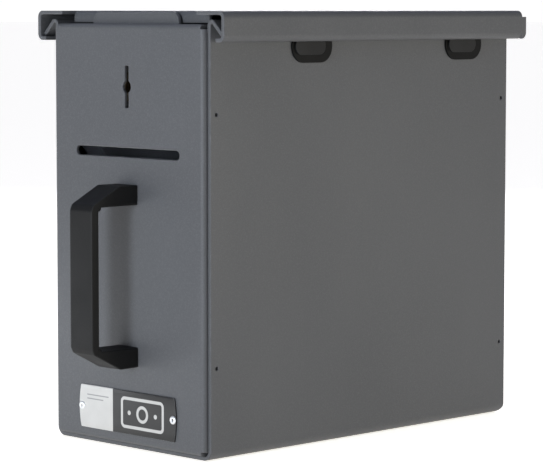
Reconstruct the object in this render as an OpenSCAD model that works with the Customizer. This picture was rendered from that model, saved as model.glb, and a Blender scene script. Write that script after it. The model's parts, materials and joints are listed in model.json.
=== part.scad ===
// Under-counter banknote safe: a folded steel box with a note slot, lock and pull handle, hanging by hook
// rails inside a C-section bracket. Millimetres, +Z up, -Y towards the user.
// The origin is the centre of the safe body's underside.

/* [Safe body] */
// Width across the two side walls
body_w = 125; // [115:1:150]
// Depth from the front edge of the walls to the back face
body_d = 240; // [220:1:300]
// Height from the underside to the top of the hook rails
body_h = 233.5; // [230:0.5:260]
// Thickness of the folded steel sheet
sheet = 2; // [1.5:0.1:2]
// Outer radius of the two long bends beside the floor
floor_bend = 5.5; // [3:0.1:6]
// Length of the sloping hook rails, along the slope
hook_len = 9.7; // [8:0.1:10]

/* [Front panel] */
// How far the panel's face stands in front of the side walls
face_proud = 3; // [2:0.1:5]
// Gap around the panel trays
tray_gap = 0.3; // [0.2:0.05:0.5]
// Outer radius of the tray bends
tray_bend = 2.5; // [2.1:0.1:3]
// Depth of the trays' returns
return_depth = 15; // [12:1:20]
// Width of the upright stop tab
tab_w = 69; // [50:1:80]
// Distance of the stop tab behind the panel's face
tab_back = 6.5; // [5:0.1:7]

/* [Note slot] */
// Length of the note slot
slot_w = 83.8; // [70:0.2:90]
// Height of the note slot
slot_h = 5.2; // [5:0.1:7]
// Height of the slot's centre line
slot_z = 161.6; // [155:0.2:164]

/* [Keyhole] */
// Height of the keyhole's centre
key_z = 197.2; // [197:0.1:198]
// Overall height of the double-bit keyhole
key_h = 23; // [20:0.5:24]
// Width of the keyhole's bit slots
key_w = 3.3; // [3:0.1:4]
// Radius of the keyhole's round centre
key_r = 3.5; // [3:0.1:4]

/* [Handle] */
// Width of the pull handle
handle_w = 17.6; // [15:0.2:22]
// Height of the handle's lower edge
handle_z = 45.5; // [40:0.5:50]
// Overall height of the handle
handle_h = 99; // [90:0.5:100]
// How far the handle stands out from the panel
handle_out = 33; // [28:0.5:40]
// Height of each handle foot
foot_h = 10.8; // [9:0.2:13]
// Rise of the sloping faces above and below the grip
handle_chamfer = 9.4; // [7:0.2:12]

/* [Nameplate] */
// Length of the nameplate at its middle
plate_w = 78.8; // [60:0.2:84]
// Height of the nameplate
plate_h = 23.8; // [18:0.2:26]
// Height of the nameplate's centre line
plate_z = 19.9; // [17:0.1:22]

/* [Bracket] */
// Overall width of the bracket
bracket_w = 150.2; // [150.2:0.1:180]
// Overall height of the bracket
bracket_h = 16.3; // [16.2:0.1:20]
// Gap between the hook rails and the bracket's lips
rail_gap = 0.6; // [0.4:0.1:0.8]
// Outer radius of the bracket's bends
bracket_bend = 3.6; // [3:0.1:3.8]
// Width of the front flange behind the stop tab
flange_w = 109; // [90:1:112]
// Radius of the counter screw holes
screw_hole_r = 2.6; // [2:0.1:3]
// Spacing of the counter screw holes across the bracket
screw_dx = 80; // [60:1:100]
// Spacing of the counter screw holes along the bracket
screw_dy = 160; // [100:1:180]

/* [Lock] */
// How far the bolt rises when the lock is turned
bolt_throw = 6.5; // [5:0.1:6.5]
// Number of levers
lever_count = 4; // [2:1:4]

/* [Hidden] */
$fn = 48;

// Colours
coat = [0.42, 0.43, 0.46];
black = [0.12, 0.12, 0.13];
zinc = [0.72, 0.73, 0.75];
brass = [0.78, 0.63, 0.32];

// Places along Y
front_y = -body_d / 2;
back_y = body_d / 2;
face_y = front_y - face_proud;
inner_y = face_y + sheet;
flange_y = front_y + 7;

// Hook rails: the wall folds over a small radius and comes down outwards at 45 degrees
hook_in = 1;
hook_out = hook_in + sheet;
hook_z = body_h - hook_out;
hook_tip_z = hook_z + (hook_in - hook_len) * sin(45);

// Bracket heights
bracket_bottom = hook_tip_z - rail_gap - sheet;
bracket_top = bracket_bottom + bracket_h;
bracket_lip = 6.4;
bracket_front = front_y - 2.1;
bracket_back = back_y + 2.6;
flange_z = bracket_top - 6.3;
rear_stop_z = bracket_bottom + 2;
rear_stop_half = bracket_w / 2 - 5.5;

// Trays
tray_half = body_w / 2 - sheet - tray_gap;
tray_low = sheet + tray_gap;
tray_high = body_h - 2.4;
tab_top = bracket_top - 0.5;
tab_corner = 5.5;
top_return = tab_back + sheet;

// Small weld-location holes in the side walls, as [distance from the edge, height]
front_pips = [[4.4, 49.4], [4.4, 183.8]];
rear_pips = [[4.6, 42.7], [4.6, 187.1]];
pip_r = 1.1;

// Handle
handle_grip = 4.8;
handle_nose = 3;
inner_corner = 2;
handle_screw_z = [handle_z + foot_h / 2, handle_z + handle_h - foot_h / 2];
m4_r = 2;
m4_hole_r = 2.25;

// Nameplate
plate_t = 0.9;
plate_end_r = 50;
rivet_x = 37.1;
rivet_r = 1.5;

// Glide pads
pad_w = 30.9;
pad_h = 18;
pad_z = 210;
pad_r = 8.9;
pad_proud = 2.3;
pad_y = [75.4, 200.4];
pad_peg_r = 3;
pad_peg_dy = 8;

// Lock, between the panel's inner face and the lock case's back
lock_half = 28;
lock_low = key_z - 24.7;
lock_high = key_z + 27.3;
lock_wall = 1.5;
cover_y = inner_y + 0.05;
case_y = cover_y + lock_wall + 0.05;
case_back = case_y + 20;
stud_x = 31.6;
lock_studs = [[stud_x, key_z - 14], [stud_x, key_z + 16]];
case_screw_x = lock_half - 4;
case_screw_z = [lock_low + 4, lock_high - 4];
m3_r = 1.45;
m3_hole_r = 1.55;
m3_nut_r = 3.1;
m3_nut_t = 2.4;
rotor_r = 8;
rotor_fit = 0.08;
rotor_back = cover_y + 10.1;
rotor_disc = 1.7;
crank_r = bolt_throw / 2;
crank_pin_r = 1.5;
crank_play = 0.9;
bolt_y = rotor_back + rotor_disc + 0.6;
bolt_t = 6;
bolt_half = 9;
bolt_low = key_z - 11;
bolt_top = tray_high - 2.1;
bolt_fit = 0.15;
stump_x = 19;
stump_z = key_z + 3.8;
stump_r = 1.8;
lever_t = 1.2;
lever_pitch = 1.9;
lever_y = case_y + 1.1;
pivot_x = -17.5;
pivot_z = key_z - 9.2;
pivot_r = 2;

// Note guides, as a horizontal mouth and a straight slope down to the flap
guide_t = 1.2;
guide_half = 44;
guide_slope = 47;
upper_z = slot_z + slot_h / 2 + 2.2;
lower_z = slot_z - slot_h / 2 - 1.4;
upper_mouth = 13;
lower_mouth = 7;
upper_len = 16.8;
lower_len = 27.8;
lower_half = guide_half - 0.2;
flap_pin_y = inner_y + 28;
flap_pin_z = slot_z - 9.6;
flap_pin_r = 1.5;
flap_len = 22;
flap_knuckle_r = 2.8;
flap_half = 43.5;
spring_room = 7.5;
ear_w = 8;
ear_h = 9.6;
lower_flange = 8;
guide_studs = [[guide_half - ear_w / 2, upper_z + ear_h - 3.6], [36, lower_z - 4]];

// ---- helpers ---------------------------------------------------------------------------------

// Extrudes an XZ outline from y0 to y1
module along_y(y0, y1) {
    translate([0, y1, 0]) rotate([90, 0, 0]) linear_extrude(height = y1 - y0) children();
}

// Extrudes a YZ outline from x0 to x1
module along_x(x0, x1) {
    translate([x0, 0, 0]) rotate([90, 0, 90]) linear_extrude(height = x1 - x0) children();
}

// Extrudes an XY outline from z0 to z1
module along_z(z0, z1) {
    translate([0, 0, z0]) linear_extrude(height = z1 - z0) children();
}

// A rod along Y, from y0 to y1
module rod_y(r, x, z, y0, y1) {
    translate([x, y1, z]) rotate([90, 0, 0]) cylinder(r = r, h = y1 - y0);
}

// A rod along X, from x0 to x1
module rod_x(r, y, z, x0, x1) {
    translate([x0, y, z]) rotate([0, 90, 0]) cylinder(r = r, h = x1 - x0);
}

// The shape and its mirror image across the middle plane
module both_sides() {
    children();
    mirror([1, 0, 0]) children();
}

// The first-quadrant quarter of a bend of outer radius r, centred on the origin
module bend(r, t) {
    intersection() {
        difference() {
            circle(r = r);
            circle(r = r - t);
        }
        square(r);
    }
}

// A rectangle with round corners
module rounded(w, h, r) {
    union() {
        translate([-w / 2 + r, -h / 2]) square([w - 2 * r, h]);
        translate([-w / 2, -h / 2 + r]) square([w, h - 2 * r]);
        for (x = [-1, 1], y = [-1, 1]) translate([x * (w / 2 - r), y * (h / 2 - r)]) circle(r = r);
    }
}

// ---- bracket ---------------------------------------------------------------------------------

// The right half of the C-section
module bracket_half_section() {
    half = bracket_w / 2;
    r = bracket_bend;
    translate([0, bracket_top - sheet]) square([half - r, sheet]);
    translate([half - r, bracket_top - r]) bend(r, sheet);
    translate([half - sheet, bracket_bottom + r]) square([sheet, bracket_h - 2 * r]);
    translate([half - r, bracket_bottom + r]) rotate(-90) bend(r, sheet);
    translate([half - bracket_lip, bracket_bottom]) square([bracket_lip - r, sheet]);
}

// The wings' round-cornered rear ends, which reach past the top plate
module wing_tail() {
    r = bracket_bend;
    half = bracket_w / 2;
    along_x(half - sheet, half) {
        translate([bracket_back - 2 * r, bracket_bottom + r]) square([2 * r, bracket_h - 2 * r]);
        translate([bracket_back - r, bracket_bottom + r]) intersection() {
            circle(r = r);
            translate([0, -r]) square(r);
        }
    }
}

// A flange bent down from the top plate, ending at height z; its outer face is at the Y origin, towards -Y
module down_flange(half, z) {
    r = bracket_bend;
    along_x(-half, half) {
        translate([r, bracket_top - r]) rotate(90) bend(r, sheet);
        translate([0, z]) square([sheet, bracket_top - r - z]);
        translate([r, bracket_top - sheet]) square([r, sheet]);
    }
}

module mounting_bracket() {
    r = bracket_bend;
    flange_half = flange_w / 2;
    color(coat) difference() {
        union() {
            difference() {
                along_y(bracket_front, bracket_back - r) both_sides() bracket_half_section();
                translate([-flange_half, bracket_front - 1, bracket_top - sheet - 1])
                    cube([flange_w, flange_y + r - bracket_front + 1, sheet + 2]);
                translate([-rear_stop_half, bracket_back - r - 1, bracket_top - sheet - 1])
                    cube([2 * rear_stop_half, 2, sheet + 2]);
            }
            both_sides() wing_tail();
            translate([0, flange_y, 0]) down_flange(flange_half, flange_z);
            translate([0, bracket_back, 0]) mirror([0, 1, 0]) down_flange(rear_stop_half, rear_stop_z);
        }
        for (x = [-1, 1], y = [-1, 1]) {
            translate([x * screw_dx / 2, y * screw_dy / 2, bracket_top - 5])
                cylinder(r = screw_hole_r, h = 10);
        }
    }
}

// ---- safe body -------------------------------------------------------------------------------

// The right half of the shell: floor, bend, wall and hook rail
module shell_half_section() {
    half = body_w / 2;
    r = floor_bend;
    square([half - r, sheet]);
    translate([half - r, r]) rotate(-90) bend(r, sheet);
    translate([half - sheet, r]) square([sheet, hook_z - r]);
    translate([half + hook_in, hook_z]) {
        intersection() {
            difference() {
                circle(r = hook_out);
                circle(r = hook_in);
            }
            polygon([[0, 0], [10, 7], [10, 10], [-5, 10], [-5, 0]]);
        }
        // sunk slightly into the bend, so that the two outlines cross at a clear angle
        rotate(-45) translate([-0.27, hook_in - 0.02]) square([hook_len + 0.27, sheet]);
    }
}

module body_shell() {
    corner_r = 5;
    corner_in = 4.9;
    color(coat) difference() {
        along_y(front_y, back_y) both_sides() shell_half_section();
        // rounded lower rear corners
        along_x(-body_w, body_w) difference() {
            translate([back_y - corner_in, -1]) square([corner_in + 1, corner_in + 1]);
            translate([back_y - corner_in, corner_in]) circle(r = corner_r);
        }
        both_sides() {
            for (p = front_pips) rod_x(pip_r, front_y + p[0], p[1], body_w / 2 - 5, body_w / 2 + 5);
            for (p = rear_pips) rod_x(pip_r, back_y - p[0], p[1], body_w / 2 - 5, body_w / 2 + 5);
            for (y = pad_y, s = [-1, 1]) {
                rod_x(pad_peg_r + 0.05, front_y + y + s * pad_peg_dy, pad_z + pad_h / 2,
                      body_w / 2 - 5, body_w / 2 + 5);
            }
        }
    }
}

// A folded tray whose face is at the Y origin and looks to -Y; the four corners are left open as bend reliefs
module tray(top_depth) {
    r = tray_bend;
    flat = tray_half - r;
    translate([-flat, 0, tray_low + r]) cube([2 * flat, sheet, tray_high - tray_low - 2 * r]);
    both_sides() along_z(tray_low + r, tray_high - r) {
        translate([flat, r]) rotate(-90) bend(r, sheet);
        translate([tray_half - sheet, r]) square([sheet, return_depth - r]);
    }
    along_x(-flat, flat) {
        translate([r, tray_high - r]) rotate(90) bend(r, sheet);
        translate([r, tray_high - sheet]) square([top_depth - r, sheet]);
        translate([r, tray_low + r]) rotate(180) bend(r, sheet);
        translate([r, tray_low]) square([return_depth - r, sheet]);
    }
}

// The upright tab that meets the bracket's front flange when the safe is pushed home
module stop_tab() {
    along_y(face_y + tab_back, face_y + tab_back + sheet) {
        translate([-tab_w / 2, tray_high - sheet]) square([tab_w, tab_top - tab_corner - tray_high + sheet]);
        translate([-tab_w / 2 + tab_corner, tray_high]) square([tab_w - 2 * tab_corner, tab_top - tray_high]);
        for (s = [-1, 1]) {
            translate([s * (tab_w / 2 - tab_corner), tab_top - tab_corner]) circle(r = tab_corner);
        }
    }
}

// The double-bit keyhole, grown by a clearance c
module keyhole(c) {
    circle(r = key_r + c);
    rounded(key_w + 2 * c, key_h + 2 * c, 1);
}

module front_panel() {
    color(coat) difference() {
        union() {
            translate([0, face_y, 0]) tray(top_return);
            stop_tab();
        }
        translate([0, 0, key_z]) along_y(face_y - 1, inner_y + 1) keyhole(0);
        translate([0, 0, slot_z]) along_y(face_y - 1, inner_y + 1) rounded(slot_w, slot_h, slot_h / 2 - 0.01);
        for (z = handle_screw_z) rod_y(m4_hole_r, 0, z, face_y - 1, inner_y + 1);
        for (s = [-1, 1]) rod_y(rivet_r + 0.05, s * rivet_x, plate_z, face_y - 1, inner_y + 1);
    }
}

module back_panel() {
    color(coat) translate([0, back_y, 0]) mirror([0, 1, 0]) tray(return_depth);
}

// ---- handle and nameplate --------------------------------------------------------------------

// Half of the handle's side outline, below its middle: x is the distance out from the panel, y the height
module handle_half_outline() {
    low = -handle_h / 2;
    grip_in = handle_out - handle_grip;
    difference() {
        polygon([
            [0, low], [handle_out * 0.4, low], [handle_out - handle_nose / 2, low + handle_chamfer],
            [handle_out, low + handle_chamfer + handle_nose], [handle_out, 0], [0, 0],
        ]);
        translate([-1, low + foot_h]) square([grip_in - inner_corner + 1, -low]);
        translate([-1, low + foot_h + inner_corner]) square([grip_in + 1, -low]);
        translate([grip_in - inner_corner, low + foot_h + inner_corner]) circle(r = inner_corner);
    }
}

module pull_handle() {
    color(black) difference() {
        translate([0, face_y - 0.02, handle_z + handle_h / 2]) rotate([90, 0, -90])
            translate([0, 0, -handle_w / 2]) linear_extrude(height = handle_w) {
                handle_half_outline();
                mirror([0, 1]) handle_half_outline();
            }
        for (z = handle_screw_z) rod_y(m4_r + 0.05, 0, z, face_y - 12, face_y + 1);
    }
}

module handle_washers() {
    color(zinc) for (z = handle_screw_z) difference() {
        rod_y(4.5, 0, z, inner_y, inner_y + 0.8);
        rod_y(m4_hole_r, 0, z, inner_y - 1, inner_y + 2);
    }
}

module handle_screws() {
    color(zinc) for (z = handle_screw_z) {
        difference() {
            union() {
                rod_y(m4_r, 0, z, face_y - 11, inner_y + 1);
                rod_y(3.6, 0, z, inner_y + 0.8, inner_y + 3.2);
            }
            translate([-2.6, inner_y + 2.2, z - 0.5]) cube([5.2, 2, 1]);
            translate([-0.5, inner_y + 2.2, z - 2.6]) cube([1, 2, 5.2]);
        }
    }
}

module nameplate() {
    color(black) translate([0, 0, plate_z]) difference() {
        along_y(face_y - plate_t, face_y - 0.02) intersection() {
            square([plate_w + 10, plate_h], center = true);
            translate([plate_end_r - plate_w / 2, 0]) circle(r = plate_end_r, $fn = 96);
            translate([plate_w / 2 - plate_end_r, 0]) circle(r = plate_end_r, $fn = 96);
        }
        for (s = [-1, 1]) rod_y(rivet_r + 0.05, s * rivet_x, 0, face_y - 3, face_y + 3);
    }
}

module nameplate_rivets() {
    head_r = 2.3;
    color(zinc) for (s = [-1, 1]) {
        difference() {
            union() {
                rod_y(rivet_r, s * rivet_x, plate_z, face_y - plate_t - 0.3, inner_y + 1.2);
                rod_y(head_r, s * rivet_x, plate_z, face_y - plate_t - 0.7, face_y - plate_t - 0.02);
                rod_y(2, s * rivet_x, plate_z, inner_y + 0.02, inner_y + 1.6);
            }
            rod_y(0.8, s * rivet_x, plate_z, face_y - plate_t - 2, face_y + 0.5);
        }
    }
}

// ---- glide pads ------------------------------------------------------------------------------

module glide_pads() {
    wall = body_w / 2;
    color(black) both_sides() for (y = pad_y) {
        translate([0, front_y + y, pad_z + pad_h / 2])
            along_x(wall + 0.02, wall + pad_proud) rounded(pad_w, pad_h, pad_r);
        for (s = [-1, 1]) {
            rod_x(pad_peg_r, front_y + y + s * pad_peg_dy, pad_z + pad_h / 2,
                  wall - sheet - 3, wall + 0.5);
        }
    }
}

module pad_push_nuts() {
    inside = body_w / 2 - sheet;
    color(zinc) both_sides() for (y = pad_y, s = [-1, 1]) difference() {
        rod_x(6, front_y + y + s * pad_peg_dy, pad_z + pad_h / 2, inside - 1.2, inside - 0.02);
        rod_x(pad_peg_r + 0.03, front_y + y + s * pad_peg_dy, pad_z + pad_h / 2, inside - 3, inside + 2);
    }
}

// ---- lock ------------------------------------------------------------------------------------

module lock_cover() {
    color(zinc) difference() {
        along_y(cover_y, cover_y + lock_wall) translate([0, (lock_low + lock_high) / 2])
            rounded(2 * stud_x + 7, lock_high - lock_low, 3);
        rod_y(rotor_r + rotor_fit, 0, key_z, cover_y - 1, cover_y + 3);
        translate([0, 0, key_z]) along_y(cover_y - 1, cover_y + 3) keyhole(0.3);
        for (s = [-1, 1], p = lock_studs) rod_y(m3_hole_r, s * p[0], p[1], cover_y - 1, cover_y + 3);
        for (s = [-1, 1], z = case_screw_z) rod_y(m3_hole_r, s * case_screw_x, z, cover_y - 1, cover_y + 3);
    }
}

module lock_case() {
    color(zinc) difference() {
        union() {
            difference() {
                translate([-lock_half, case_y, lock_low])
                    cube([2 * lock_half, case_back - case_y, lock_high - lock_low]);
                translate([-lock_half + lock_wall, case_y - 1, lock_low + lock_wall])
                    cube([2 * (lock_half - lock_wall), case_back - case_y + 1 - lock_wall,
                          lock_high - lock_low - 2 * lock_wall]);
            }
            for (s = [-1, 1], z = case_screw_z) rod_y(3.4, s * case_screw_x, z, case_y, case_back);
        }
        // the bolt's way through the top wall
        translate([-bolt_half - bolt_fit, bolt_y - bolt_fit, lock_high - 5])
            cube([2 * (bolt_half + bolt_fit), bolt_t + 2 * bolt_fit, 10]);
        for (s = [-1, 1], z = case_screw_z) {
            rod_y(m3_hole_r, s * case_screw_x, z, case_y - 1, case_back + 1);
        }
        rod_y(pivot_r + 0.03, pivot_x, pivot_z, case_back - 3, case_back + 1);
    }
}

module lock_case_screws() {
    color(zinc) for (s = [-1, 1], z = case_screw_z) difference() {
        union() {
            rod_y(m3_r, s * case_screw_x, z, cover_y + 0.2, case_back + 0.5);
            rod_y(2.8, s * case_screw_x, z, case_back + 0.02, case_back + 1.9);
        }
        translate([s * case_screw_x - 2.2, case_back + 1.1, z - 0.4]) cube([4.4, 2, 0.8]);
    }
}

module panel_studs() {
    color(zinc) for (s = [-1, 1], p = concat(lock_studs, guide_studs)) {
        rod_y(m3_r, s * p[0], p[1], inner_y, inner_y + 6);
    }
}

module nuts_at(places, y) {
    for (s = [-1, 1], p = places) difference() {
        translate([s * p[0], y + m3_nut_t, p[1]]) rotate([90, 0, 0])
            cylinder(r = m3_nut_r, h = m3_nut_t, $fn = 6);
        rod_y(m3_hole_r, s * p[0], p[1], y - 1, y + 5);
    }
}

module stud_nuts() {
    color(zinc) {
        nuts_at(lock_studs, cover_y + lock_wall + 0.02);
        nuts_at(guide_studs, inner_y + guide_t + 0.04);
    }
}

// The rotor that the key turns: a slotted barrel, a thrust collar, a back disc and a crank pin for the bolt
module keyway_rotor() {
    color(brass) {
        difference() {
            union() {
                rod_y(rotor_r, 0, key_z, cover_y, rotor_back + 0.1);
                rod_y(rotor_r + 1.4, 0, key_z, case_y, case_y + 0.8);
            }
            rod_y(key_r, 0, key_z, cover_y - 1, rotor_back);
            translate([-key_w / 2, cover_y - 1, key_z - 12]) cube([key_w, rotor_back - cover_y + 1, 24]);
        }
        rod_y(rotor_r + 1.4, 0, key_z, rotor_back, rotor_back + rotor_disc);
        rod_y(crank_pin_r, 0, key_z - crank_r, rotor_back + 1, bolt_y + bolt_t - 0.5);
    }
}

// The bolt: a plate with a cross slot for the crank pin, an arm with the levers' stump, and a stepped head
module lock_bolt() {
    slot_half_h = crank_pin_r + crank_play;
    slot_half_w = crank_pin_r + crank_r + 0.5;
    color(zinc) {
        difference() {
            translate([-bolt_half, bolt_y, bolt_low]) cube([2 * bolt_half, bolt_t, bolt_top - bolt_low]);
            translate([0, 0, key_z - crank_r]) along_y(bolt_y - 1, bolt_y + bolt_t + 1)
                rounded(2 * slot_half_w, 2 * slot_half_h, slot_half_h - 0.01);
        }
        translate([-bolt_half, bolt_y - 1.7, lock_high + 1.2])
            cube([2 * bolt_half, 2, bolt_top - lock_high - 1.2]);
        translate([bolt_half - 1, bolt_y, stump_z - 2.8]) cube([stump_x - bolt_half + 3.5, bolt_t, 5.6]);
        rod_y(stump_r, stump_x, stump_z, lever_y - 0.4, bolt_y + 1);
    }
}

// A leaf spring's outline, grown by a clearance c
module leaf(c) {
    translate([-2, key_z + 13.4]) rotate(125) translate([-c, -c]) square([13.2 + 2 * c, 0.5 + 2 * c]);
}

// One lever: a ring round the rotor, a lug on the pivot, a wide gate round the stump and a slot for its spring
module lever_outline() {
    ring_r = 15;
    window_r = 11;
    difference() {
        union() {
            translate([0, key_z]) circle(r = ring_r);
            translate([pivot_x, pivot_z]) circle(r = 4.2);
            translate([pivot_x - 1, pivot_z - 4]) square([8, 14]);
            translate([10, key_z - 6]) square([15.2, 21]);
        }
        translate([0, key_z]) circle(r = window_r);
        translate([pivot_x, pivot_z]) circle(r = pivot_r + 0.06);
        translate([stump_x - 5, key_z - 3.4]) square([9.4, 16.4]);
        leaf(0.05);
    }
}

module lock_levers() {
    color(brass) for (i = [0 : lever_count - 1]) {
        y = lever_y + i * lever_pitch;
        along_y(y, y + lever_t) lever_outline();
    }
}

// Leaf springs that stand in the levers' slots and reach up to the case's top wall
module lever_springs() {
    color(zinc) for (i = [0 : lever_count - 1]) {
        y = lever_y + i * lever_pitch + 0.3;
        along_y(y, y + 0.6) leaf(0);
    }
}

module lever_pivot_pin() {
    color(zinc) rod_y(pivot_r, pivot_x, pivot_z, case_y + 0.1, case_back - 0.02);
}

// ---- note guides and flap --------------------------------------------------------------------

// A bent guide: a flange on the panel, a horizontal mouth and a slope; drawn as a YZ outline
module guide_outline(z, mouth, slope_len, flange_low, flange_high) {
    y = inner_y + 0.02;
    translate([y, flange_low]) square([guide_t, flange_high - flange_low]);
    translate([y, z]) square([mouth, guide_t]);
    translate([y + mouth, z]) rotate(-guide_slope) square([slope_len, guide_t]);
    translate([y + mouth, z]) intersection() {
        circle(r = guide_t);
        square(guide_t);
    }
}

module guide_stud_holes() {
    for (s = [-1, 1], p = guide_studs) rod_y(m3_hole_r, s * p[0], p[1], inner_y - 1, inner_y + 3);
}

module upper_note_guide() {
    y = inner_y + 0.02;
    color(zinc) difference() {
        union() {
            along_x(-guide_half, guide_half)
                guide_outline(upper_z, upper_mouth, upper_len, upper_z, upper_z + 4);
            // ears for the studs beside the lock
            both_sides() translate([guide_half - ear_w, y, upper_z]) cube([ear_w, guide_t, ear_h]);
            // cheeks that carry the flap's hinge pin
            both_sides() along_x(guide_half, guide_half + guide_t) difference() {
                polygon([
                    [y + 2, upper_z], [y + 2, upper_z + guide_t], [y + upper_mouth + 1, upper_z + guide_t],
                    [flap_pin_y + 3, flap_pin_z + 4], [flap_pin_y + 4, flap_pin_z - 4],
                    [flap_pin_y - 4, flap_pin_z - 4], [y + upper_mouth - 4, upper_z - 8],
                ]);
                translate([flap_pin_y, flap_pin_z]) circle(r = flap_pin_r + 0.05);
            }
        }
        guide_stud_holes();
    }
}

module lower_note_guide() {
    color(zinc) difference() {
        along_x(-lower_half, lower_half)
            guide_outline(lower_z, lower_mouth, lower_len, lower_z - lower_flange, lower_z + guide_t);
        guide_stud_holes();
    }
}

module anti_fishing_flap() {
    y = flap_pin_y;
    z = flap_pin_z;
    color(zinc) {
        difference() {
            rod_x(flap_knuckle_r, y, z, -flap_half, flap_half - spring_room);
            rod_x(flap_pin_r + 0.05, y, z, -flap_half - 1, flap_half);
        }
        translate([-flap_half, y - 0.8, z - flap_len]) cube([2 * flap_half, 1, flap_len - flap_knuckle_r + 0.1]);
        translate([-flap_half, y - 0.8, z - flap_knuckle_r]) cube([2 * flap_half - spring_room, 1, 0.7]);
    }
}

module flap_hinge_pin() {
    color(zinc) rod_x(flap_pin_r, flap_pin_y, flap_pin_z, -guide_half - 3.6, guide_half + 3.6);
}

// The torsion spring's wound body and its leg on the flap
module flap_spring() {
    x0 = flap_half - spring_room + 0.6;
    color(zinc) {
        difference() {
            rod_x(2.7, flap_pin_y, flap_pin_z, x0, flap_half - 0.5);
            rod_x(flap_pin_r + 0.2, flap_pin_y, flap_pin_z, x0 - 1, flap_half + 1);
        }
        translate([flap_half - 1.4, flap_pin_y + 1.1, flap_pin_z - 13]) cylinder(r = 0.4, h = 11.1);
    }
}

module flap_pin_clips() {
    color(zinc) both_sides() difference() {
        rod_x(3, flap_pin_y, flap_pin_z, guide_half + guide_t + 0.1, guide_half + guide_t + 0.9);
        rod_x(flap_pin_r + 0.03, flap_pin_y, flap_pin_z, guide_half, guide_half + 4);
    }
}

mounting_bracket();
body_shell();
front_panel();
back_panel();
pull_handle();
handle_screws();
handle_washers();
nameplate();
nameplate_rivets();
glide_pads();
pad_push_nuts();
lock_cover();
lock_case();
lock_case_screws();
panel_studs();
stud_nuts();
keyway_rotor();
lock_bolt();
lock_levers();
lever_springs();
lever_pivot_pin();
upper_note_guide();
lower_note_guide();
anti_fishing_flap();
flap_hinge_pin();
flap_spring();
flap_pin_clips();
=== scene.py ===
import json
import math

import bmesh
import bpy
from mathutils import Matrix, Vector


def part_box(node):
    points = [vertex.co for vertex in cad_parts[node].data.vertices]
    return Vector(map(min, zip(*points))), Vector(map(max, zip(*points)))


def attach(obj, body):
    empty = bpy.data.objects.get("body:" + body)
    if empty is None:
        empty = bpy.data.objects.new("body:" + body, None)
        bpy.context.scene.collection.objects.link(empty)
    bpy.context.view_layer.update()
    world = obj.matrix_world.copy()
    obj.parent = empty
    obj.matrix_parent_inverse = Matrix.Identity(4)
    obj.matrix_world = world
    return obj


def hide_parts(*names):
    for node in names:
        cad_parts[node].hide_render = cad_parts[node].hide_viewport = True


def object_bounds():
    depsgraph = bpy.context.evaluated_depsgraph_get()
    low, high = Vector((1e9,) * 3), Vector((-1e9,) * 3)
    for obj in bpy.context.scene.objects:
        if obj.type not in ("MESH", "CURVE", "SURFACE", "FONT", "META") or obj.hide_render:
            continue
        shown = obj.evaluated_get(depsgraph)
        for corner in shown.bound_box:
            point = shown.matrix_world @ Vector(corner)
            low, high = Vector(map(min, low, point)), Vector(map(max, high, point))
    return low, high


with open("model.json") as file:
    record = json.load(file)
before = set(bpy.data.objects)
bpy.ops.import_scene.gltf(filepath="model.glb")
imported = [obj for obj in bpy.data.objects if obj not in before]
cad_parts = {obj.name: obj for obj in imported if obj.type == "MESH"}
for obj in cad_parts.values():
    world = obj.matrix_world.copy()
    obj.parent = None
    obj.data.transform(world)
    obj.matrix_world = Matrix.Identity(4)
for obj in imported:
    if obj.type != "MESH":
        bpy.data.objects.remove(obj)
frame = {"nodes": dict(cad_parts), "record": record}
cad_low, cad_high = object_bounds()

MM = 0.001


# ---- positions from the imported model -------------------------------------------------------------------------

def mid(node):
    """The middle of a CAD node's box, in metres."""
    low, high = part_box(node)
    return (Vector(low) + Vector(high)) / 2


plate_low, plate_high = (Vector(v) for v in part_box("nameplate"))
handle_low, handle_high = (Vector(v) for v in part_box("pull_handle"))
PAD_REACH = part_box("glide_pads")[1][0]
PAD_FACE_EDGE = 0.5 * MM


# ---- materials -----------------------------------------------------------------------------------------------

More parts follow.
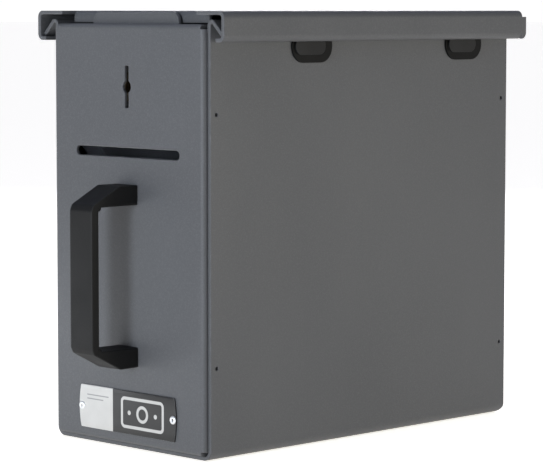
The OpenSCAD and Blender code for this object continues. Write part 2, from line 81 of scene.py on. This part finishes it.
class Nodes:
    """One material's node tree, with short ways to add and join nodes."""

    def __init__(self, name):
        self.material = bpy.data.materials.new(name)
        self.material.use_nodes = True
        self.tree = self.material.node_tree
        self.tree.nodes.clear()
        self.bsdf = self.tree.nodes.new("ShaderNodeBsdfPrincipled")
        out = self.tree.nodes.new("ShaderNodeOutputMaterial")
        self.tree.links.new(self.bsdf.outputs[0], out.inputs[0])
        self.place = self.tree.nodes.new("ShaderNodeTexCoord").outputs["Object"]

    def put(self, socket, value):
        if isinstance(value, bpy.types.NodeSocket):
            self.tree.links.new(value, socket)
        elif isinstance(value, tuple) and len(value) == 3 and len(socket.default_value) == 4:
            socket.default_value = (*value, 1)
        else:
            socket.default_value = value

    def add(self, kind, *inputs, out=0, **settings):
        """A node with its inputs filled in order; None leaves one as it is. Gives the chosen output."""
        made = self.tree.nodes.new("ShaderNode" + kind)
        for key, value in settings.items():
            setattr(made, key, value)
        for socket, value in zip(made.inputs, inputs):
            if value is not None:
                self.put(socket, value)
        return made.outputs[out]

    def math(self, operation, a, b=None, clamp=False):
        return self.add("Math", a, b, operation=operation, use_clamp=clamp)

    def noise(self, scale, detail=2.0, stretch=(1, 1, 1)):
        """Fractal noise from 0 to 1, with scale in cycles per metre."""
        where = self.place
        if stretch != (1, 1, 1):
            where = self.add("VectorMath", where, stretch, operation="MULTIPLY")
        made = self.tree.nodes.new("ShaderNodeTexNoise")
        self.put(made.inputs["Vector"], where)
        made.inputs["Scale"].default_value = scale
        made.inputs["Detail"].default_value = detail
        return made.outputs["Fac"]

    def span(self, value, low, high, to_low=0.0, to_high=1.0):
        """Maps value from low..high to to_low..to_high, held at the ends."""
        return self.add("MapRange", value, low, high, to_low, to_high, clamp=True)

    def blend(self, share, a, b):
        """A colour mix from a to b."""
        made = self.tree.nodes.new("ShaderNodeMix")
        made.data_type = "RGBA"
        self.put(made.inputs["Factor"], share)
        self.put(made.inputs["A"], a)
        self.put(made.inputs["B"], b)
        return made.outputs["Result"]

    def edges(self, radius):
        """Two outputs: 1 along edges sharper than the radius and 0 on flats, and the softened normal."""
        made = self.tree.nodes.new("ShaderNodeBevel")
        made.samples = 4
        made.inputs["Radius"].default_value = radius
        flat = self.add("NewGeometry", out="Normal")
        cosine = self.add("VectorMath", made.outputs[0], flat, operation="DOT_PRODUCT", out="Value")
        return self.span(cosine, 0.99, 0.8), made.outputs[0]

    def bump(self, height, distance, strength, normal=None):
        made = self.tree.nodes.new("ShaderNodeBump")
        made.inputs["Distance"].default_value = distance
        made.inputs["Strength"].default_value = strength
        self.put(made.inputs["Height"], height)
        if normal is not None:
            self.put(made.inputs["Normal"], normal)
        return made.outputs[0]

    def finish(self, colour, roughness, normal, **fixed):
        self.put(self.bsdf.inputs["Base Color"], colour)
        self.put(self.bsdf.inputs["Roughness"], roughness)
        self.put(self.bsdf.inputs["Normal"], normal)
        for key, value in fixed.items():
            self.bsdf.inputs[key.replace("_", " ").title().replace("Ior", "IOR")].default_value = value
        return self.material


def scaled(colour, factor):
    return tuple(min(c * factor, 1) for c in colour)


def powder_coat(name, colour):
    """Baked powder paint: fine orange peel, a faint fleck, slow drifts of tone, and edges drawn paler, partly as
    rubbed wear and partly as a painted highlight.
    """
    n = Nodes(name)
    tone = n.blend(n.span(n.noise(7, 3), 0.3, 0.7), scaled(colour, 0.95), scaled(colour, 1.05))
    fleck = n.blend(n.span(n.noise(1500, 2), 0.45, 0.75), tone, scaled(colour, 1.22))
    edge, soft = n.edges(1.2 * MM)
    # Edges drawn paler: part rubbed wear, part painted highlight standing in for light caught along the edges.
    rub_and_highlight_mask = n.math("MULTIPLY", edge, n.span(n.noise(160, 4), 0.35, 0.75, 0.25, 0.9))
    edge_wear_and_highlight = n.blend(rub_and_highlight_mask, fleck, scaled(colour, 2.2))
    peel = n.math("ADD", n.noise(620, 2), n.math("MULTIPLY", n.noise(1900, 1), 0.5))
    smudge = n.span(n.noise(24, 4, (1, 1, 0.35)), 0.35, 0.7, 0.44, 0.54)
    return n.finish(edge_wear_and_highlight, smudge, n.bump(peel, 0.05 * MM, 0.55, soft), specular_ior_level=0.25)


def moulded(name, colour, roughness, grain=1400.0):
    """Moulded plastic: spark-eroded grain, a painted highlight along its edges (a much paler colour there) and
    slightly polished edges.
    """
    n = Nodes(name)
    tone = n.blend(n.span(n.noise(40, 3), 0.3, 0.7), scaled(colour, 0.9), scaled(colour, 1.12))
    speck = n.blend(n.span(n.noise(grain, 2), 0.5, 0.8), tone, scaled(colour, 1.35))
    edge, soft = n.edges(1.3 * MM)
    # Painted highlight: the edges are drawn much paler to stand in for light caught on the rounded edge.
    edge_wear_and_highlight = n.blend(n.math("MULTIPLY", edge, 0.6), speck, scaled(colour, 4.6))
    handled = n.span(n.noise(60, 4), 0.3, 0.7, roughness - 0.04, roughness + 0.06)
    rough = n.math("SUBTRACT", handled, n.math("MULTIPLY", edge, 0.1))
    return n.finish(edge_wear_and_highlight, rough, n.bump(n.noise(grain, 3), 0.04 * MM, 0.5, soft), specular_ior_level=0.16)


def pad_moulding(name, painted_shade_rim_colour, face_colour, face_reach):
    """Moulded plastic with a duller, darker rim below a raised face, the rim's dark colour being painted shade;
    face_reach is where the face starts.
    """
    n = Nodes(name)
    reach = n.math("ABSOLUTE", n.add("SeparateXYZ", n.place))
    # Painted shade: below face_reach the rim takes a near-black colour, standing in for its unlit sides and the
    # shadow they throw.
    base = n.blend(n.span(reach, face_reach - 0.1 * MM, face_reach + 0.1 * MM), painted_shade_rim_colour, face_colour)
    tone = n.blend(n.span(n.noise(60, 3), 0.3, 0.7, 0.0, 0.3), base, painted_shade_rim_colour)
    edge, soft = n.edges(0.3 * MM)
    # Edges drawn slightly paler: part wear, part painted highlight.
    edge_wear_and_highlight = n.blend(n.math("MULTIPLY", edge, 0.4), tone, scaled(face_colour, 1.5))
    rough = n.span(n.noise(80, 4), 0.3, 0.7, 0.46, 0.56)
    return n.finish(edge_wear_and_highlight, rough, n.bump(n.noise(1100, 3), 0.04 * MM, 0.5, soft), specular_ior_level=0.12)


def metal(name, colour, roughness, grain=(1, 1, 14), tarnish=0.82):
    """Bare or plated metal: drawn grain, cloudy tarnish and bright edges."""
    n = Nodes(name)
    cloud = n.span(n.noise(55, 5), 0.35, 0.7)
    tone = n.blend(cloud, scaled(colour, tarnish), colour)
    lines = n.noise(240, 3, grain)
    drawn = n.blend(n.span(lines, 0.3, 0.7, 0, 0.5), tone, scaled(colour, 0.88))
    edge, soft = n.edges(0.25 * MM)
    bright = n.blend(n.math("MULTIPLY", edge, 0.6), drawn, scaled(colour, 1.15))
    rough = n.span(n.math("ADD", lines, cloud), 0.4, 1.5, roughness + 0.08, roughness - 0.06)
    return n.finish(bright, rough, n.bump(lines, 0.02 * MM, 0.35, soft), metallic=1.0)


# Colours are linear
coat = powder_coat("grey_powder_coat", (0.079, 0.0795, 0.082))
black_plastic = moulded("black_handle_plastic", (0.009, 0.0088, 0.0084), 0.52)
# The first colour is the rim's painted shade; the second is the face plastic's own dark grey.
pad_plastic = pad_moulding(
    "dark_pad_plastic", (0.001, 0.001, 0.001), (0.021, 0.021, 0.021), PAD_REACH - PAD_FACE_EDGE,
)
zinc = metal("zinc_plated_steel", (0.56, 0.57, 0.60), 0.36)
bright_steel = metal("bright_rivet_metal", (0.86, 0.86, 0.86), 0.5, (1, 1, 1), 0.92)
spring_steel = metal("spring_steel", (0.33, 0.32, 0.31), 0.3, (6, 6, 1))
# Brass drawn much darker than bright brass.
brass = metal("darkened_brass", (0.16, 0.125, 0.08), 0.42, (1, 9, 1), 0.7)


def plate_print():
    """The nameplate's print: a pale field, a dark field and a plain banknote symbol drawn by distance."""
    n = Nodes("nameplate_print")
    split = n.add("SeparateXYZ", n.place)
    x = n.math("MULTIPLY", split, 1000)
    z = n.math("MULTIPLY", split.node.outputs["Z"], 1000)
    centre = mid("nameplate") / MM

    def box(cx, cz, half_x, half_z, r):
        """Signed distance to a round-cornered box, in millimetres."""
        dx = n.math("SUBTRACT", n.math("ABSOLUTE", n.math("SUBTRACT", x, centre.x + cx)), half_x - r)
        dz = n.math("SUBTRACT", n.math("ABSOLUTE", n.math("SUBTRACT", z, centre.z + cz)), half_z - r)
        out_x, out_z = n.math("MAXIMUM", dx, 0.0), n.math("MAXIMUM", dz, 0.0)
        squares = n.math("ADD", n.math("MULTIPLY", out_x, out_x), n.math("MULTIPLY", out_z, out_z))
        outside = n.math("SQRT", squares)
        inside = n.math("MINIMUM", n.math("MAXIMUM", dx, dz), 0.0)
        return n.math("SUBTRACT", n.math("ADD", outside, inside), r)

    def filled(distance):
        return n.span(distance, 0.08, -0.08)

    def outline(distance, width):
        return filled(n.math("SUBTRACT", n.math("ABSOLUTE", distance), width / 2))

    def either(a, b):
        return n.math("MAXIMUM", a, b)

    note_x, dot_x, line = 12.5, 10.6, 1.7
    symbol = outline(box(note_x, 0, 16.5, 7.8, 2.2), line)
    symbol = either(symbol, outline(box(note_x, 0, 3.9, 3.9, 3.88), line))
    for side in (-1, 1):
        symbol = either(symbol, filled(box(note_x + side * dot_x, 0, 1.25, 1.25, 1.24)))
    rules = either(filled(box(-24.0, 6.6, 9.0, 0.35, 0.3)), filled(box(-26.2, 4.4, 6.8, 0.35, 0.3)))
    field_edge = centre.x - 11.45
    pale_ink, dark_ink = (0.475, 0.46, 0.43), (0.0105, 0.010, 0.0098)
    ink_tone = n.span(n.noise(90, 3), 0.3, 0.7)
    pale = n.blend(ink_tone, scaled(pale_ink, 0.95), scaled(pale_ink, 1.04))
    pale = n.blend(n.math("MULTIPLY", rules, 0.75), pale, (0.16, 0.16, 0.16))
    dark = n.blend(ink_tone, scaled(dark_ink, 0.85), scaled(dark_ink, 1.2))
    dark = n.blend(n.math("MULTIPLY", symbol, 0.96), dark, pale_ink)
    both = n.blend(n.span(x, field_edge, field_edge - 0.15), dark, pale)
    edge, soft = n.edges(0.2 * MM)
    rub_and_highlight_mask = n.math("MULTIPLY", edge, n.span(n.noise(400, 3), 0.4, 0.7, 0.1, 0.8))
    edge_wear_and_highlight = n.blend(rub_and_highlight_mask, both, (0.5, 0.5, 0.5))
    rough = n.span(n.noise(120, 4), 0.3, 0.7, 0.34, 0.44)
    return n.finish(edge_wear_and_highlight, rough, n.bump(n.noise(700, 2), 0.02 * MM, 0.3, soft), specular_ior_level=0.5)


printed = plate_print()

SLOT_MATERIALS = {
    "grey_coat": coat,
    "handle_plastic": black_plastic,
    "plate_print": printed,
    "rivet_steel": bright_steel,
    "pad_plastic": pad_plastic,
    "zinc_steel": zinc,
    "spring_steel": spring_steel,
    "lock_brass": brass,
}
node_slot = {s["node"]: s["material_slot"] for s in frame["record"]["subparts"]}
for name, cad in frame["nodes"].items():
    for place in cad.material_slots:
        place.material = SLOT_MATERIALS[node_slot[name]]


# ---- mesh helpers --------------------------------------------------------------------------------------------

def filleted(corners, steps=8):
    """A closed outline from (x, y, radius) corners, with each corner rounded."""
    outline = []
    for i, (x, y, r) in enumerate(corners):
        here = Vector((x, y))
        if r <= 0:
            outline.append(here)
            continue
        before = (Vector(corners[i - 1][:2]) - here).normalized()
        after = (Vector(corners[(i + 1) % len(corners)][:2]) - here).normalized()
        half = before.angle(after) / 2
        centre = here + (before + after).normalized() * (r / math.sin(half))
        first = here + before * (r / math.tan(half))
        last = here + after * (r / math.tan(half))
        a0 = math.atan2(*(first - centre).yx)
        turn = math.atan2(*(last - centre).yx) - a0
        turn = (turn + math.pi) % (2 * math.pi) - math.pi
        for k in range(steps + 1):
            a = a0 + turn * k / steps
            outline.append(centre + Vector((math.cos(a), math.sin(a))) * r)
    return outline


def solid_piece(name, bm, material, body, replaced=(), angle=35.0):
    """Turns a finished bmesh into a piece that rides on a body."""
    bmesh.ops.recalc_face_normals(bm, faces=bm.faces)
    mesh = bpy.data.meshes.new(name)
    bm.to_mesh(mesh)
    bm.free()
    mesh.shade_smooth()
    mesh.set_sharp_from_angle(angle=math.radians(angle))
    mesh.materials.append(material)
    piece = bpy.data.objects.new(name, mesh)
    bpy.context.scene.collection.objects.link(piece)
    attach(piece, body)
    if replaced:
        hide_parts(*replaced)
    return piece


def extrude(bm, outline, place, start, end, bevel=0.0, segments=3, both=True):
    """Adds a prism between two planes; place maps (u, v, w) to a point. Its rims are rounded by bevel."""
    first = [bm.verts.new(place(u, v, start)) for u, v in outline]
    last = [bm.verts.new(place(u, v, end)) for u, v in outline]
    bm.faces.new(first)
    bm.faces.new(last)
    count = len(outline)
    for i in range(count):
        j = (i + 1) % count
        bm.faces.new((first[i], first[j], last[j], last[i]))
    if bevel:
        rims = [last] + ([first] if both else [])
        edges = [bm.edges.get((rim[i], rim[(i + 1) % count])) for rim in rims for i in range(count)]
        bmesh.ops.bevel(bm, geom=edges, offset=bevel, segments=segments, profile=0.5, affect="EDGES")


def lathe(bm, profile, origin, axis, steps=40):
    """Adds a turned shape: profile holds (distance along axis, radius) pairs; a radius of 0 closes an end."""
    axis = Vector(axis).normalized()
    side = axis.orthogonal().normalized()
    across = axis.cross(side)
    rings = []
    for along, r in profile:
        base = Vector(origin) + axis * along
        if r <= 0:
            rings.append([bm.verts.new(base)])
            continue
        turns = [2 * math.pi * k / steps for k in range(steps)]
        rings.append([bm.verts.new(base + (side * math.cos(a) + across * math.sin(a)) * r) for a in turns])
    for one, two in zip(rings, rings[1:]):
        for k in range(steps):
            j = (k + 1) % steps
            quad = [one[k % len(one)], one[j % len(one)], two[j % len(two)], two[k % len(two)]]
            face = list(dict.fromkeys(quad))
            if len(face) > 2:
                bm.faces.new(face)


def tube(bm, points, radius, steps=10):
    """Adds a round wire along points, with closed ends."""
    points = [Vector(p) for p in points]
    rings, side = [], None
    for i, p in enumerate(points):
        ahead = (points[min(i + 1, len(points) - 1)] - points[max(i - 1, 0)]).normalized()
        side = ahead.orthogonal() if side is None else side - ahead * side.dot(ahead)
        side.normalize()
        across = ahead.cross(side)
        turns = [2 * math.pi * k / steps for k in range(steps)]
        rings.append([bm.verts.new(p + (side * math.cos(a) + across * math.sin(a)) * radius) for a in turns])
    for one, two in zip(rings, rings[1:]):
        for k in range(steps):
            j = (k + 1) % steps
            bm.faces.new((one[k], one[j], two[j], two[k]))
    bm.faces.new(rings[0][::-1])
    bm.faces.new(rings[-1])


# ---- the pull handle -----------------------------------------------------------------------------------------

def make_handle():
    """A moulded bow handle: square feet, sloping arms and a flat grip, with soft edges all round."""
    out = (handle_high.y - handle_low.y) / MM
    half = (handle_high.z - handle_low.z) / MM / 2
    foot, grip, chamfer, nose, inner = 10.8, 4.8, 9.4, 3.0, 2.0
    lower = [
        (0, -half, 0), (out * 0.4, -half, 1.6), (out - nose / 2, chamfer - half, 2.6),
        (out, chamfer + nose - half, 3.4),
    ]
    upper = [(x, -z, r) for x, z, r in reversed(lower)]
    hole_high = [(0, half - foot, 0), (out - grip, half - foot, inner)]
    hole_low = [(x, -z, r) for x, z, r in reversed(hole_high)]
    outline = [p * MM for p in filleted(lower + upper + hole_high + hole_low)]
    centre_z = (handle_low.z + handle_high.z) / 2
    rim = 1.1 * MM

    def place(u, v, w):
        return (w, handle_high.y - u, centre_z + v)

    bm = bmesh.new()
    extrude(bm, outline, place, handle_low.x, handle_high.x, rim)
    solid_piece("pull_handle_bow", bm, black_plastic, "safe", ["pull_handle"])


make_handle()


# ---- the nameplate and its rivets ----------------------------------------------------------------------------

def make_nameplate():
    """A thin plate with curved ends."""
    half_x, half_z = (plate_high.x - plate_low.x) / 2, (plate_high.z - plate_low.z) / 2
    centre = mid("nameplate")
    r, half_steps, rim = 50 * MM, 8, 0.22 * MM
    reach = math.asin(half_z / r)
    outline = []
    for side in (1, -1):
        for k in range(2 * half_steps + 1):
            a = reach * (k / half_steps - 1)
            outline.append((side * (half_x - r + r * math.cos(a)), side * r * math.sin(a)))

    def place(u, v, w):
        return (centre.x + u, w, centre.z + v)

    bm = bmesh.new()
    extrude(bm, outline, place, plate_high.y, plate_low.y, rim, 2, False)
    solid_piece("nameplate_panel", bm, printed, "safe", ["nameplate"])


def make_rivets():
    """Blind rivets: a domed flange with the dimple that the mandrel leaves, and the set tail inside."""
    low, high = (Vector(v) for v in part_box("nameplate_rivets"))
    head_r = 2.3
    mandrel = [(0.0, 0), (-0.04, 0.5), (-0.2, 0.8)]
    head = [(0.35, 0.8), (0.62, 1.0), (0.7, 1.3), (0.62, 1.75), (0.4, 2.12), (0.12, head_r), (0, head_r)]
    tail = [(0, 1.48), (-3.0, 1.48), (-3.1, 2.0), (-3.9, 2.05), (-4.5, 1.5), (-4.6, 0)]
    profile = [(along * MM, r * MM) for along, r in mandrel + head + tail]
    for i, x in enumerate((low.x + head_r * MM, high.x - head_r * MM)):
        bm = bmesh.new()
        lathe(bm, profile, (x, plate_low.y, mid("nameplate_rivets").z), (0, -1, 0))
        solid_piece(f"nameplate_rivet_{i + 1}", bm, bright_steel, "safe", ["nameplate_rivets"], 50)


make_nameplate()
make_rivets()


# ---- the glide pads ------------------------------------------------------------------------------------------

def make_pads():
    """Glide buttons: a raised face on a broad rounded rim, widest at the rear, and two pegs through the wall."""
    low, high = (Vector(v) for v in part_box("glide_pads"))
    half_w, half_h = 15.45 * MM, (high.z - low.z) / 2
    centre_z = (low.z + high.z) / 2
    under, rim_top = 62.52 * MM, PAD_REACH - 1.2 * MM
    rim_front, rim_rear, rim_edge = 1.6 * MM, 6.4 * MM, 4.4 * MM
    peg_end, peg_r, peg_lead, peg_dy = 57.5 * MM, 3 * MM, 0.4 * MM, 8 * MM
    peg = [(peg_end, 0), (peg_end, peg_r - peg_lead), (peg_end + peg_lead, peg_r), (under, peg_r), (under, 0)]

    def stadium(front=0.0, rear=0.0, edge=0.0):
        """The outline, drawn in from the front end, the rear end, and above and below."""
        a, b, h = front - half_w, half_w - rear, half_h - edge
        r = h * 0.985
        return filleted([(a, -h, r), (b, -h, r), (b, h, r), (a, h, r)], 12)

    for side, side_name in ((-1, "left"), (1, "right")):
        for y, end_name in ((low.y + half_w, "front"), (high.y - half_w, "rear")):
            def place(u, v, w):
                return (side * w, y + u, centre_z + v)

            bm = bmesh.new()
            extrude(bm, stadium(), place, under, rim_top, 1.0 * MM, 4, False)
            face = stadium(rim_front, rim_rear, rim_edge)
            extrude(bm, face, place, rim_top - 0.1 * MM, PAD_REACH, PAD_FACE_EDGE, 3, False)
            for dy in (-peg_dy, peg_dy):
                lathe(bm, peg, (0, y + dy, centre_z), (side, 0, 0), 32)
            name = f"glide_pad_{side_name}_{end_name}"
            solid_piece(name, bm, pad_plastic, "safe", ["glide_pads"])


make_pads()


# ---- the flap's torsion spring -------------------------------------------------------------------------------

def make_flap_spring():
    """A wound wire spring round the hinge pin, with one leg that bears on the flap."""
    low, high = (Vector(v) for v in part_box("flap_spring"))
    pin = mid("flap_hinge_pin")
    wire, r = 0.35 * MM, 2.2 * MM
    x0, x1 = low.x + wire, high.x - wire
    turns, steps = 7, 20
    points = []
    for k in range(turns * steps + 1):
        a = 2 * math.pi * k / steps
        x = x0 + (x1 - x0) * k / (turns * steps)
        points.append((x, pin.y + r * math.cos(a), pin.z + r * math.sin(a)))
    leg = [(r, 3 * MM), (1.3 * MM, 8 * MM), (1.0 * MM, pin.z - low.z)]
    points += [(x1, pin.y + out, pin.z - down) for out, down in leg]
    bm = bmesh.new()
    tube(bm, points, wire, 8)
    solid_piece("flap_torsion_spring", bm, spring_steel, "flap", ["flap_spring"], 60)


make_flap_spring()


# ---- floor, lights and camera --------------------------------------------------------------------------------

def make_floor():
    """A pale round floor, a hair below the object's underside so that the two never share a plane."""
    n = Nodes("pale_floor")
    tone = n.blend(n.noise(3, 3), (0.83, 0.83, 0.83), (0.87, 0.87, 0.87))
    grain = n.bump(n.noise(400, 2), 0.1 * MM, 0.1)
    n.finish(tone, 0.6, grain, emission_color=(0.90, 0.87, 0.80, 1), emission_strength=0.86)
    bm = bmesh.new()
    bmesh.ops.create_circle(bm, cap_ends=True, segments=64, radius=40)
    mesh = bpy.data.meshes.new("studio_floor")
    bm.to_mesh(mesh)
    bm.free()
    mesh.materials.append(n.material)
    floor = bpy.data.objects.new("studio_floor", mesh)
    floor.location.z = cad_low[2] - 0.1 * MM
    bpy.context.scene.collection.objects.link(floor)


def make_light(name, place, target, size, power, colour=(1, 1, 1)):
    """A round softbox; size in metres, power in watts."""
    data = bpy.data.lights.new(name, "AREA")
    data.shape = "DISK"
    data.size = size
    data.energy = power
    data.color = colour
    lamp = bpy.data.objects.new(name, data)
    lamp.location = place
    lamp.rotation_euler = (Vector(target) - Vector(place)).to_track_quat("-Z", "Y").to_euler()
    bpy.context.scene.collection.objects.link(lamp)


def make_camera():
    azimuth, tilt, roll = math.radians(45.1725), math.radians(5.1184), math.radians(0.0237)
    back = Vector((math.sin(azimuth) * math.cos(tilt), -math.cos(azimuth) * math.cos(tilt), math.sin(tilt)))
    right = Vector((math.cos(azimuth), math.sin(azimuth), 0))
    up = back.cross(right)
    right, up = (
        right * math.cos(roll) + up * math.sin(roll),
        up * math.cos(roll) - right * math.sin(roll),
    )
    data = bpy.data.cameras.new("camera")
    data.sensor_width = 36
    data.lens = 169.056
    data.clip_end = 200
    camera = bpy.data.objects.new("camera", data)
    turned = Matrix((right, up, back)).transposed().to_4x4()
    camera.matrix_world = Matrix.Translation((1.03174, -1.03827, 0.24007)) @ turned
    bpy.context.scene.collection.objects.link(camera)
    bpy.context.scene.camera = camera


make_floor()
middle = (Vector(cad_low) + Vector(cad_high)) / 2
make_light("key_softbox", (0.36, -1.8, 0.3), middle, 0.48, 20.5, (0.91, 1.0, 1.12))
make_light("low_softbox", (-0.22, -0.26, 0.012), (0, -0.12, 0.01), 0.12, 0.125, (0.95, 1.0, 1.05))
make_light("side_softbox", (0.95, 0.4, 0.06), (0, 0.05, 0.05), 0.5, 3.25, (1.06, 1.0, 0.82))
make_light("top_softbox", (0, -0.1, 1.7), middle, 0.9, 4)
make_light("back_softbox", (-1.2, 1.3, 0.6), middle, 0.6, 8, (1.0, 1.0, 1.02))
make_camera()


def make_world():
    """Studio air: a white band at eye level, dim above it and brighter overhead."""
    white, overhead, dim_share = (1, 1, 1, 1), (0.32, 0.36, 0.49), 0.11
    world = bpy.data.worlds.new("studio_air")
    world.use_nodes = True
    tree = world.node_tree
    height = tree.nodes.new("ShaderNodeSeparateXYZ")
    ramp = tree.nodes.new("ShaderNodeValToRGB")
    tree.links.new(tree.nodes.new("ShaderNodeTexCoord").outputs["Generated"], height.inputs[0])
    tree.links.new(height.outputs["Z"], ramp.inputs[0])
    tree.links.new(ramp.outputs[0], tree.nodes["Background"].inputs["Color"])
    stops = ramp.color_ramp.elements
    stops[0].color, stops[1].color = white, (*overhead, 1)
    stops.new(0.05).color = white
    stops.new(0.11).color = (*scaled(overhead, dim_share), 1)
    tree.nodes["Background"].inputs["Strength"].default_value = 1.02
    bpy.context.scene.world = world


make_world()
bpy.context.scene.view_settings.view_transform = "Standard"
